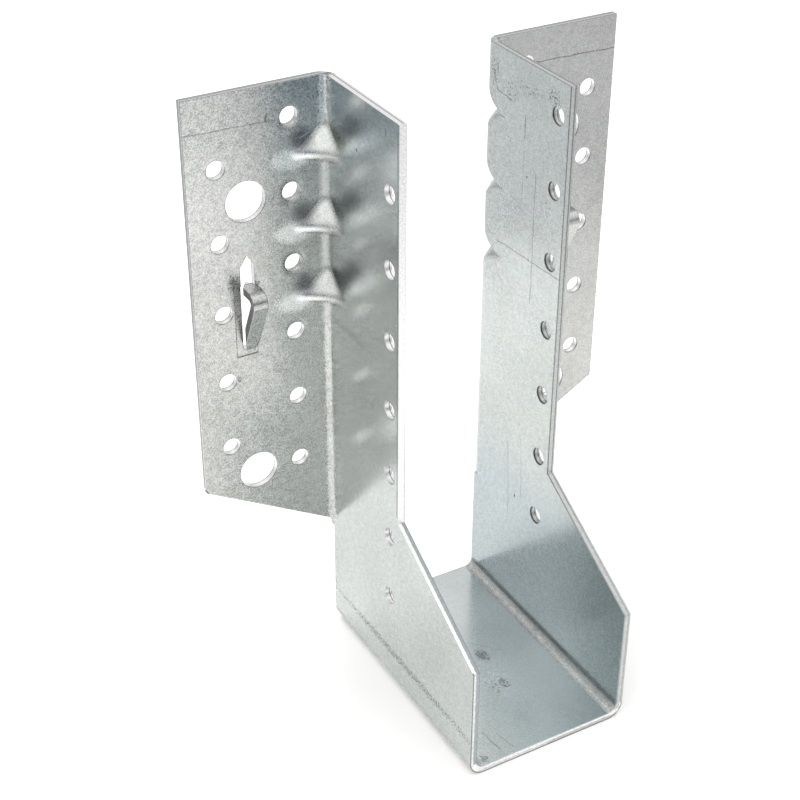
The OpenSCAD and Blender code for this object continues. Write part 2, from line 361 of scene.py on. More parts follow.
class SharedEffects:
    """Node groups that are placed again and again in the finish."""

    def __init__(self) -> None:
        """Builds the groups once."""
        self.grain = self._grain()
        self.line = self._line()
        self.patch = self._patch()

    @staticmethod
    def _grain() -> bpy.types.NodeTree:
        """Builds the crystalline grain of the zinc.

        Returns:
            The node group.
        """
        g = GroupMaker("zinc_grain")
        place = g.takes("Place", "Vector")
        size = g.takes("Size", "Float", 0.5)
        fine = g.noise(place, g.math("DIVIDE", 1.0, size), 1.0, 0.65)
        mottle = g.noise(place, g.math("DIVIDE", 0.22, size), 0.0)
        drift = g.noise(place, 0.05, 0.0)
        apart = g.vector("ADD", place, (31.0, 17.0, 5.0))
        speck = g.noise(apart, g.math("DIVIDE", 1.35, size), 0.0)
        g.gives("Fine", g.ramp(fine, 0.28, 0.72))
        g.gives("Mottle", g.ramp(mottle, 0.3, 0.7))
        g.gives("Drift", g.ramp(drift, 0.35, 0.65))
        g.gives("Speck", g.ramp(speck, 0.62, 0.78))
        return g.tree

    @staticmethod
    def _line() -> bpy.types.NodeTree:
        """Builds a fine line between two points of a face.

        Returns:
            The node group.
        """
        g = GroupMaker("pressed_line")
        place = g.takes("Place", "Vector")
        start, end = g.takes("Start", "Vector"), g.takes("End", "Vector")
        width = g.takes("Width", "Float", 0.2)
        along, reach = g.vector("SUBTRACT", place, start), g.vector("SUBTRACT", end, start)
        covered = g.vector("DOT_PRODUCT", along, reach, result="Value")
        share = g.math("DIVIDE", covered, g.vector("DOT_PRODUCT", reach, reach, result="Value"))
        share = g.add("ShaderNodeClamp", {"Value": share}).outputs[0]
        gap = g.vector("DISTANCE", along, g.scaled(reach, share), result="Value")
        g.gives("Mask", g.ramp(gap, g.math("MULTIPLY", width, 0.35), width, 1.0, 0.0))
        return g.tree

    @staticmethod
    def _patch() -> bpy.types.NodeTree:
        """Builds the soft hold of a patch round a point of a face.

        Returns:
            The node group.
        """
        g = GroupMaker("handling_patch")
        place, middle = g.takes("Place", "Vector"), g.takes("Middle", "Vector")
        reach = g.takes("Reach", "Vector", (1.0, 1.0, 1.0))
        share = g.vector("DIVIDE", g.vector("SUBTRACT", place, middle), reach)
        gap = g.vector("LENGTH", share, result="Value")
        g.gives("Hold", g.ramp(gap, 0.2, 1.05, 1.0, 0.0))
        return g.tree


@dataclass(frozen=True)
class SheetRegions:
    """Where a point is on the folded sheet: its place in millimetres and a mask for each region."""

    place: Socket
    x: Socket
    y: Socket
    z: Socket
    away: Socket
    facing: tuple[Socket, ...]
    left: Socket
    right: Socket
    flange: Socket
    seat: Socket
    bead: Socket
    fold: Socket

    @classmethod
    def find(cls, g: Graph, sizes: HangerSizes) -> "SheetRegions":
        """Finds the regions of the sheet.

        Args:
            g: The material's graph.
            sizes: Sizes of the folded sheet.

        Returns:
            The place, the size of each part of the face's normal, and the masks.
        """
        place = g.scaled(g.add("ShaderNodeTexCoord").outputs["Object"], 1 / MM)
        x, y, z = g.parts(place)
        away = g.math("ABSOLUTE", x)
        normal = g.add("ShaderNodeNewGeometry").outputs["True Normal"]
        flange_from = sizes.flange_front - sizes.prong_reach
        bead = g.both(
            g.over(z, sizes.bead_bottom),
            g.under(z, sizes.bead_top),
            g.under(away, sizes.plate_outer + sizes.bead_reach),
            g.over(y, sizes.header_face - sizes.bead_reach - 1.0),
        )
        return cls(
            place=place,
            x=x,
            y=y,
            z=z,
            away=away,
            facing=g.parts(g.vector("ABSOLUTE", normal)),
            left=g.under(x, 0.0),
            right=g.over(x, 0.0),
            flange=g.both(g.over(y, flange_from), g.over(away, sizes.plate_outer + CLEAR)),
            seat=g.both(g.under(z, sizes.sheet + CLEAR), g.under(away, sizes.plate_inner - 0.4)),
            bead=bead,
            fold=g.both(g.under(z, sizes.seat_bend_top), g.over(away, sizes.seat_flat)),
        )


@dataclass(frozen=True)
class CutFaces:
    """Masks of the faces that stand square to the sheet where they are."""

    cut: Socket
    bright: Socket
    shaded_hole_wall: Socket
    shaded_prong_side: Socket


@dataclass(frozen=True)
class CutDepth:
    """Masks that follow how deep in the sheet a cut face is."""

    torn: Socket
    outline: Socket
    inset: Socket
    shaded: Socket


@dataclass(frozen=True)
class EdgeFinish:
    """Cut edges of the sheet: burnished by the shear, then torn, with a fine burr at each side, and with painted
    highlights and painted shade on some of them.
    """

    burnished_tone: Colour = (0.680, 0.700, 0.690, 1.0)
    burnish_and_highlight_tone: Colour = (0.860, 0.850, 0.850, 1.0)
    shaded_tone: Colour = (0.340, 0.370, 0.380, 1.0)
    torn_tone: Colour = (0.560, 0.572, 0.560, 1.0)
    flange_torn_tone: Colour = (0.420, 0.428, 0.420, 1.0)
    painted_shade_tone: Colour = (0.070, 0.070, 0.072, 1.0)
    rim_shade_tone: Colour = (0.090, 0.095, 0.100, 1.0)
    hole_share: float = 0.92
    prong_side_share: float = 0.78
    streak_swing: float = 0.7
    seat_shear: Span = (1.05, 1.25)
    hole_shade_span: Span = (0.40, 0.65)
    nose_rise: Span = (2.0, 6.0)
    worn: Span = (-30.0, 2.0)
    worn_share: float = 0.75
    ragged_mm: float = 0.9
    pierced_share: float = 0.9
    tear: Span = (0.62, 0.92)
    shade: Span = (0.85, 1.05)
    burr: Span = (1.60, 1.86)
    rim: Span = (0.22, 0.46)
    rim_inset: float = 0.42
    rim_share: float = 0.75
    crack: float = 1.32
    crack_width: Span = (0.06, 0.20)
    crack_share: float = 0.85
    skin: Span = (0.24, 0.44)
    skin_share: float = 0.80
    rolled: Span = (0.30, 0.44)

    def faces(self, g: Graph, sizes: HangerSizes, at: SheetRegions) -> CutFaces:
        """Finds the cut faces.

        Args:
            g: The material's graph.
            sizes: Sizes of the folded sheet.
            at: The regions of the sheet.

        Returns:
            Masks of the cut edges, of the burnished edges that carry a painted highlight, of the painted shade on
            the right plate's nail-hole walls next to its inner face, and of the painted shade on the left prong's
            cut side.
        """
        nx, ny, nz = at.facing
        plain = g.inverse(g.both(at.bead, g.over(nz, 0.02)))
        plate = g.both(
            g.under(nx, SQUARE),
            g.over(at.away, sizes.plate_inner - TOUCH),
            g.under(at.away, sizes.plate_outer + TOUCH),
            g.under(at.y, sizes.bend_front - TOUCH),
            g.over(at.z, sizes.seat_bend_top),
        )
        seat = g.both(
            g.over(ny, ALONG),
            g.under(at.away, sizes.plate_outer + TOUCH),
            g.under(at.y, sizes.flange_front + TOUCH),
            g.under(at.z, sizes.seat_bend_top + TOUCH),
        )
        bend = g.both(
            g.over(nz, 0.6),
            g.over(at.away, sizes.plate_inner - TOUCH),
            g.under(at.away, sizes.flange_inner),
            g.over(at.y, sizes.bend_front - TOUCH),
            plain,
        )
        flange = g.both(
            g.under(ny, SQUARE),
            g.over(at.away, sizes.flange_inner - TOUCH),
            g.over(at.y, sizes.flange_front - TOUCH),
            plain,
        )
        prong = g.both(
            g.over(nx, ALONG),
            g.over(at.away, sizes.prong_inner),
            g.under(at.y, sizes.flange_front),
            g.over(at.y, sizes.prong_front),
        )
        behind = g.over(at.y, sizes.upper_front + CLEAR)
        below_top = g.under(at.z, sizes.height - 1.0)
        # Painted shade on the part of the right plate's nail-hole walls next to its inner face.
        start, end = (sizes.plate_inner + offset for offset in self.hole_shade_span)
        near_face = g.ramp(at.x, start, end, 1.0, 0.0)
        shaded_hole_wall = g.both(plate, behind, g.over(at.z, sizes.nails_above), below_top, near_face, at.right)
        punched = g.both(
            flange,
            g.under(at.away, sizes.flange_edge - INSIDE),
            g.under(at.z, sizes.height - INSIDE),
        )
        sheared_seat = g.both(seat, g.ramp(at.z, *self.seat_shear))
        # Burnished edges made brighter with a painted highlight: the left plate's edges, the punched flange
        # edges, the seat's sheared top and the right plate's back edges.
        bright = g.either(g.both(plate, at.left), punched, sheared_seat, g.both(plate, behind, below_top))
        return CutFaces(g.either(plate, seat, bend, flange, prong), bright, shaded_hole_wall, g.both(prong, at.left))

    def depth(self, g: Graph, sizes: HangerSizes, at: SheetRegions) -> CutDepth:
        """Finds how deep in the sheet a cut face is.

        Args:
            g: The material's graph.
            sizes: Sizes of the folded sheet.
            at: The regions of the sheet.

        Returns:
            Masks of the torn part, of the fine lines at its two sides, of all but the corner that the
            shear rolled over, and of the shaded inner side of the left plate's foot.
        """
        from_plate = g.math("SUBTRACT", sizes.plate_outer, at.away)
        from_flange = g.math("SUBTRACT", at.y, sizes.flange_front)
        depth = g.number(g.over(at.y, sizes.bend_front + 1.0), from_plate, from_flange)
        depth = g.number(g.under(at.z, sizes.sheet + 0.6), depth, g.math("SUBTRACT", sizes.sheet, at.z))
        wander = g.noise(at.place, 1.1, 1.0, 0.7)
        ragged = g.math("MULTIPLY_ADD", wander, self.ragged_mm, -self.ragged_mm / 2)
        left = g.both(at.left, g.under(at.y, sizes.bend_front))
        pierced = g.both(
            g.over(at.away, sizes.flange_inner + INSIDE),
            g.under(at.away, sizes.flange_edge - INSIDE),
            g.under(at.z, sizes.height - INSIDE),
        )
        torn = g.both(
            g.ramp(g.math("ADD", depth, ragged), *self.tear),
            g.inverse(left),
            g.inverse(g.both(pierced, self.pierced_share)),
        )
        shaded = g.both(
            g.ramp(g.math("MULTIPLY_ADD", ragged, 0.3, depth), *self.shade),
            g.under(at.z, sizes.knee),
            g.under(at.y, sizes.upper_front + TOUCH),
            left,
            g.over(at.z, sizes.seat_bend_top - INSIDE),
        )
        outline = self._outline(g, sizes, at, depth, left)
        outline = self._nose_skin(g, sizes, at, outline, left)
        return CutDepth(torn, outline, g.ramp(depth, *self.rolled), shaded)

    def _outline(
        self, g: Graph, sizes: HangerSizes, at: SheetRegions, depth: Socket, left: Socket
    ) -> Socket:
        """Draws the burr and the rolled rim of a cut as dark lines of painted shade, and the crack line in the
        left plate's holes.

        Args:
            g: The material's graph.
            sizes: Sizes of the folded sheet.
            at: The regions of the sheet.
            depth: Depth in the sheet, from its outer face.
            left: 1 on the left plate.

        Returns:
            A mask of fine lines.
        """
        burr = g.ramp(depth, *self.burr, 0.0, self.rim_share)
        start = g.number(g.over(at.y, sizes.bend_front), self.rim_inset, 0.0)
        rim = g.ramp(g.math("SUBTRACT", depth, start), *self.rim, self.rim_share, 0.0)
        rim = g.both(rim, g.over(at.z, sizes.seat_bend_top))
        outline = g.both(g.math("MAXIMUM", burr, rim), g.ramp(at.y, *self.worn, self.worn_share, 1.0))
        off_crack = g.math("ABSOLUTE", g.math("SUBTRACT", depth, self.crack))
        crack = g.ramp(off_crack, *self.crack_width, self.crack_share, 0.0)
        return g.number(left, outline, g.both(crack, g.over(at.y, sizes.upper_front + CLEAR)))

    def _nose_skin(
        self, g: Graph, sizes: HangerSizes, at: SheetRegions, outline: Socket, left: Socket
    ) -> Socket:
        """Lets the line follow the outer skin of the sheet along the seat's front edge.

        Args:
            g: The material's graph.
            sizes: Sizes of the folded sheet.
            at: The regions of the sheet.
            outline: The lines of the other edges.
            left: 1 on the left plate.

        Returns:
            A mask of fine lines.
        """
        across = g.math("SUBTRACT", at.away, sizes.seat_flat)
        up = g.math("SUBTRACT", at.z, sizes.seat_bend_top)
        corner = g.both(g.over(across, 0.0), g.under(up, 0.0))
        radius = g.vector("LENGTH", g.joined(across, up), result="Value")
        skin = g.number(g.over(up, 0.0), at.z, g.math("SUBTRACT", sizes.plate_outer, at.away))
        skin = g.number(corner, skin, g.math("SUBTRACT", sizes.seat_bend_top, radius))
        front = g.both(g.under(at.y, sizes.seat_front + INSIDE), g.either(left, g.under(up, 0.0)))
        return g.number(front, outline, g.ramp(skin, *self.skin, self.skin_share, 0.0))

    def tone(
        self, g: Graph, sizes: HangerSizes, at: SheetRegions, faces: CutFaces, depth: CutDepth, streak: Socket
    ) -> Socket:
        """Colours the cut edges.

        Args:
            g: The material's graph.
            sizes: Sizes of the folded sheet.
            at: The regions of the sheet.
            faces: Masks of the cut faces.
            depth: Masks of the depth in the sheet.
            streak: Noise of the shear's streaks.

        Returns:
            The colour.
        """
        # Burnished tone, brightened with a painted highlight where the mask says, then the torn part.
        sheen = g.blend(faces.bright, self.burnished_tone, self.burnish_and_highlight_tone)
        tone = g.blend(depth.torn, sheen, g.blend(at.flange, self.torn_tone, self.flange_torn_tone))
        nose = g.both(g.under(at.y, sizes.seat_front + TOUCH), at.left, g.ramp(at.z, *self.nose_rise))
        for mask, colour in (
            (nose, self.burnished_tone),
            (depth.shaded, self.shaded_tone),
            # Painted shade on the left prong's cut side.
            (g.both(faces.shaded_prong_side, self.prong_side_share), self.painted_shade_tone),
            # Painted shade on the right plate's nail-hole walls.
            (g.both(faces.shaded_hole_wall, self.hole_share), self.painted_shade_tone),
            # The burr and rim are real; their dark lines are painted shade.
            (depth.outline, self.rim_shade_tone),
        ):
            tone = g.blend(mask, tone, colour)
        swing = g.math("MULTIPLY_ADD", g.centred(streak), self.streak_swing, 1.0)
        return g.blend(1.0, tone, g.grey(swing), "MULTIPLY")


@dataclass(frozen=True)
class PaintedReflections:
    """Painted shade and light that change slowly over the sheet, as factors of the tone that stand in for
    reflections.
    """

    waist_height: float = 100.0
    waist_reach: Span = (8.0, 40.0)
    waist: float = 0.87
    top_rise: Span = (132.0, 156.0)
    left_top: float = 1.13
    foot_rise: Span = (8.0, 26.0)
    left_foot: float = 1.08
    corner_rise: Span = (112.0, 150.0)
    corner_reach: Span = (40.0, 60.0)
    left_flange: float = 0.975
    left_flange_corner: float = 1.12
    right_flange: float = 0.91
    seat_depth: Span = (-36.0, 24.0)
    seat_front: float = 1.12
    seat_back: float = 0.83

    def factor(self, g: Graph, at: SheetRegions) -> Socket:
        """Finds the factor for the tone.

        Args:
            g: The material's graph.
            at: The regions of the sheet.

        Returns:
            The factor.
        """
        off_waist = g.math("ABSOLUTE", g.math("SUBTRACT", at.z, self.waist_height))
        left_plate = g.both(
            g.ramp(off_waist, *self.waist_reach, self.waist, 1.0),
            g.ramp(at.z, *self.top_rise, 1.0, self.left_top),
            g.ramp(at.z, *self.foot_rise, self.left_foot, 1.0),
        )
        corner = g.ramp(at.away, *self.corner_reach, 1.0, self.left_flange_corner)
        left_flange = g.number(g.ramp(at.z, *self.corner_rise), self.left_flange, corner)
        plate = g.number(at.right, left_plate, 1.0)
        factor = g.number(at.flange, plate, g.number(at.right, left_flange, self.right_flange))
        return g.number(at.seat, factor, g.ramp(at.y, *self.seat_depth, self.seat_front, self.seat_back))


@dataclass(frozen=True)
class BeadShadeAndHighlight:
    """Painted shade beside each pressed bead and a painted highlight on the soft lip below it."""

    lip_middle: Point = (34.0, 4.1, 0.0)
    lip_reach: Point = (7.5, 3.9, 1.0)
    flange_middle: Point = (31.6, 8.9, Face.FLANGES.value)
    flange_reach: Point = (4.4, 4.6, 1.0)
    flange_share: float = 0.60
    plate_middle: Point = (25.0, 16.4, Face.LEFT_PLATE.value)
    plate_reach: Point = (14.0, 3.6, 1.0)
    plate_share: float = 0.20
    blue_power: float = 0.94

    @staticmethod
    def _step(g: Graph, sizes: HangerSizes, at: SheetRegions) -> Socket:
        """Finds the height within one pitch of the beads."""
        return g.math("FLOORED_MODULO", g.math("SUBTRACT", at.z, sizes.bead_fold - 5.0), sizes.bead_pitch)

    def lips(self, g: Graph, sizes: HangerSizes, at: SheetRegions, effects: SharedEffects) -> Socket:
        """Finds the soft lip below each pressed bead, which gets a painted highlight.

        Args:
            g: The material's graph.
            sizes: Sizes of the folded sheet.
            at: The regions of the sheet.
            effects: The shared node groups.

        Returns:
            A soft mask.
        """
        inputs = {
            "Place": g.joined(at.away, self._step(g, sizes, at)),
            "Middle": self.lip_middle,
            "Reach": self.lip_reach,
        }
        hold = g.add("ShaderNodeGroup", inputs, node_tree=effects.patch).outputs["Hold"]
        return g.both(
            hold,
            g.over(at.z, sizes.bead_bottom),
            g.under(at.z, sizes.bead_top),
            g.over(at.y, sizes.header_face - sizes.bead_reach),
            g.under(at.y, sizes.flange_front + CLEAR),
            at.left,
        )

    def painted_bead_shade(self, g: Graph, sizes: HangerSizes, at: SheetRegions, effects: SharedEffects) -> Socket:
        """Finds the painted shade beside each pressed bead.

        Args:
            g: The material's graph.
            sizes: Sizes of the folded sheet.
            at: The regions of the sheet.
            effects: The shared node groups.

        Returns:
            A soft mask.
        """
        nx, ny = at.facing[:2]
        flange = g.both(
            g.over(ny, 0.6), g.over(at.away, sizes.plate_outer), g.under(at.y, sizes.flange_front + CLEAR)
        )
        plate = g.both(g.over(nx, 0.6), g.over(at.away, sizes.plate_outer - TOUCH))
        layer = g.number(flange, Face.LEFT_PLATE.value, Face.FLANGES.value)
        spot = g.joined(g.number(flange, at.y, at.away), self._step(g, sizes, at), layer)
        soft: list[Socket] = []
        for middle, reach, share, only in (
            (self.flange_middle, self.flange_reach, self.flange_share, flange),
            (self.plate_middle, self.plate_reach, self.plate_share, plate),
        ):
            inputs = {"Place": spot, "Middle": middle, "Reach": reach}
            patch = g.add("ShaderNodeGroup", inputs, node_tree=effects.patch)
            soft.append(g.both(patch.outputs["Hold"], only, share))
        return g.both(g.either(*soft), g.over(at.z, sizes.bead_bottom), g.under(at.z, sizes.bead_top + 5.0))

    def factor(
        self, g: Graph, sizes: HangerSizes, at: SheetRegions, effects: SharedEffects
    ) -> tuple[Socket, Socket]:
        """Finds the painted shade and highlight round the beads.

        Args:
            g: The material's graph.
            sizes: Sizes of the folded sheet.
            at: The regions of the sheet.
            effects: The shared node groups.

        Returns:
            The painted shade, as a colour that turns a little blue, and the painted lift of the lips.
        """
        # Painted highlight on the lips and painted shade beside the beads, both standing in for reflections.
        lift = g.math("ADD", self.lips(g, sizes, at, effects), 1.0)
        bead_shade = g.inverse(self.painted_bead_shade(g, sizes, at, effects))
        return g.joined(bead_shade, bead_shade, g.math("POWER", bead_shade, self.blue_power)), lift


@dataclass(frozen=True)
class Handling:
    """Lines, smudges and freckles that the press, the stack and the hand have left, and a few patches and bands
    of painted shade.
    """

    sway_mm: float = 0.8
    freckle: float = 0.12
    freckle_level: float = 0.71
    freckle_gain: float = -0.24
    freckle_edge: float = 0.07
    freckle_share: float = 0.66
    glint: Span = (0.52, 0.60)
    glint_share: float = 0.8

    @staticmethod
    def _spot(g: Graph, sizes: HangerSizes, at: SheetRegions) -> tuple[Socket, Socket]:
        """Lays the marked faces out flat, each in a layer of its own.

        Args:
            g: The material's graph.
            sizes: Sizes of the folded sheet.
            at: The regions of the sheet.

        Returns:
            The place on its face, and the layer, which is 0 away from the marked faces.
        """
        nx, ny, nz = at.facing
        inner, front, top = sizes.plate_inner, sizes.flange_front, sizes.sheet
        left = g.both(g.over(nx, FLAT), g.under(at.x, TOUCH - sizes.plate_outer))
        right = g.both(g.over(nx, FLAT), g.over(at.x, inner - TOUCH), g.under(at.x, inner + TOUCH))
        flange = g.both(g.over(ny, FLAT), g.under(at.y, front + TOUCH), g.over(at.y, front - TOUCH))
        seat = g.both(g.over(nz, FLAT), g.over(at.z, top - TOUCH), g.under(at.z, top + TOUCH))
        across = g.number(g.either(left, right), at.x, at.y)
        layer = g.math("MULTIPLY", left, Face.LEFT_PLATE.value)
        for only, face in ((right, Face.RIGHT_PLATE), (flange, Face.FLANGES), (seat, Face.SEAT)):
            layer = g.math("MULTIPLY_ADD", only, face.value, layer)
        return g.joined(across, g.number(seat, at.z, at.y), layer), layer

    def _lines(self, g: Graph, spot: Socket, effects: SharedEffects) -> tuple[Socket, Socket]:
        """Draws the fine lines.

        Args:
            g: The material's graph.
            spot: The place on its face.
            effects: The shared node groups.

        Returns:
            A mask of the dark lines and one of the bright lines.
        """
        sway = g.centred(g.noise(spot, 0.3, 1.0))
        bent = g.vector("ADD", spot, g.scaled((self.sway_mm, self.sway_mm, 0.0), sway))
        dark: Any = 0.0
        light: Any = 0.0
        for mark in MARKS:
            layer = mark.face.value
            inputs = {
                "Place": bent,
                "Start": (*mark.start, layer),
                "End": (*mark.end, layer),
                "Width": mark.width,
            }
            line = g.add("ShaderNodeGroup", inputs, node_tree=effects.line).outputs["Mask"]
            if mark.shade > 0:
                dark = g.math("MAXIMUM", dark, g.both(line, mark.shade))
            else:
                light = g.math("MAXIMUM", light, g.both(line, -mark.shade))
        return dark, light

    def _patches(self, g: Graph, spot: Socket, effects: SharedEffects) -> tuple[Socket, Socket]:
        """Spreads the smudges.

        Args:
            g: The material's graph.
            spot: The place on its face.
            effects: The shared node groups.

        Returns:
            The hold of the dark freckles and that of the bright ones.
        """
        hold: Any = self.freckle
        glint: Any = 0.0
        for smudge in SMUDGES:
            inputs = {
                "Place": spot,
                "Middle": (*smudge.middle, smudge.face.value),
                "Reach": (*smudge.reach, 1.0),
            }
            patch = g.add("ShaderNodeGroup", inputs, node_tree=effects.patch).outputs["Hold"]
            if smudge.shade > 0:
                hold = g.math("MAXIMUM", hold, g.both(patch, smudge.shade))
            else:
                glint = g.math("MAXIMUM", glint, g.both(patch, -smudge.shade))
        return hold, glint

    def marks(
        self, g: Graph, sizes: HangerSizes, at: SheetRegions, effects: SharedEffects
    ) -> tuple[Socket, Socket]:
        """Lays the lines and smudges on their faces.

        Args:
            g: The material's graph.
            sizes: Sizes of the folded sheet.
            at: The regions of the sheet.
            effects: The shared node groups.

        Returns:
            A mask of the dark marks and one of the bright marks.
        """
        spot, layer = self._spot(g, sizes, at)
        dark, light = self._lines(g, spot, effects)
        freckles = g.noise(spot, 1.5, 3.0, 0.7)
        dark = g.both(dark, g.ramp(freckles, 0.34, 0.52, 0.4, 1.0))
        hold, glint = self._patches(g, spot, effects)
        pale = g.noise(g.vector("ADD", spot, (9.0, 4.0, 0.0)), 1.1, 3.0, 0.75)
        light = g.either(light, g.both(g.ramp(pale, *self.glint), glint, self.glint_share))
        level = g.math("MULTIPLY_ADD", hold, self.freckle_gain, self.freckle_level)
        soft = g.ramp(freckles, level, g.math("ADD", level, self.freckle_edge), 0.0, self.freckle_share)
        return g.either(dark, g.both(soft, g.over(layer, 1.0))), light


@dataclass(frozen=True)
class SpangleFinish:
    """Crystalline grain of the zinc: how far each layer moves the tone, and its share of each region."""

    size_mm: float = 0.36
    fine: float = 0.54
    mottle: float = 0.12
    drift: float = 0.06
    speck: float = 0.10
    drawn_left: float = 0.20
    drawn_right: float = 0.11
    plate_share: float = 0.55
    seat_share: float = 0.22
    bead_share: float = 0.75
    crease_share: float = 1.35
    right_flange_share: float = 0.55
    near_bend_share: float = 0.62
    near_bend: Span = (29.0, 44.0)

    def layers(self, g: Graph, at: SheetRegions, effects: SharedEffects) -> tuple[Socket, ...]:
        """Places the grain.

        Args:
            g: The material's graph.
            at: The regions of the sheet.
            effects: The shared node groups.

        Returns:
            The fine grain, the mottle, the drift and the specks.
        """
        inputs = {"Place": at.place, "Size": self.size_mm}
        grain = g.add("ShaderNodeGroup", inputs, node_tree=effects.grain)
        return tuple(grain.outputs[name] for name in ("Fine", "Mottle", "Drift", "Speck"))

    def share(self, g: Graph, sizes: HangerSizes, at: SheetRegions) -> Socket:
        """Finds how strongly the grain shows.

        Args:
            g: The material's graph.
            sizes: Sizes of the folded sheet.
            at: The regions of the sheet.

        Returns:
            The share, 1 on the open face of the left flange.
        """
        open_face = g.both(
            g.ramp(at.x, 20.0, 30.0, 1.0, self.right_flange_share),
            g.ramp(at.away, *self.near_bend, self.near_bend_share, 1.0),
        )
        flat = g.number(at.flange, self.plate_share, open_face)
        formed = g.number(at.bead, self.seat_share, self.bead_share)
        share = g.number(g.either(at.seat, at.bead), flat, formed)
        crease = g.both(
            g.over(at.y, sizes.bend_front),
            g.over(at.away, sizes.crease_inner),
            g.under(at.away, sizes.crease_outer),
            g.inverse(at.bead),
        )
        return g.either(share, g.both(crease, self.crease_share), at.fold)

    def swing(
        self, g: Graph, sizes: HangerSizes, at: SheetRegions, layers: tuple[Socket, ...], share: Socket
    ) -> Socket:
        """Finds how the grain moves the tone.

        Args:
            g: The material's graph.
            sizes: Sizes of the folded sheet.
            at: The regions of the sheet.
            layers: The fine grain, the mottle, the drift and the specks.
            share: How strongly the grain shows.

        Returns:
            A factor about 1.
        """
        fine, mottle, drift, speck = layers
        swing = g.math("MULTIPLY_ADD", g.both(g.centred(fine), share), self.fine, 1.0)
        swing = g.math("ADD", swing, g.both(g.centred(mottle), share, self.mottle))
        swing = g.math("ADD", swing, g.both(g.centred(drift), self.drift))
        swing = g.math("SUBTRACT", swing, g.both(speck, share, self.speck))
        drawn = g.ramp(g.noise(g.vector("MULTIPLY", at.place, (1.0, 0.5, 1.0)), 1.6, 2.0, 0.7), 0.3, 0.7)
        plate = g.both(g.under(at.away, sizes.plate_outer + TOUCH), g.over(at.z, sizes.seat_bend_top))
        amount = g.ramp(at.x, -1.0, 1.0, self.drawn_left, self.drawn_right)
        return g.math("ADD", swing, g.both(g.centred(drawn), plate, amount))


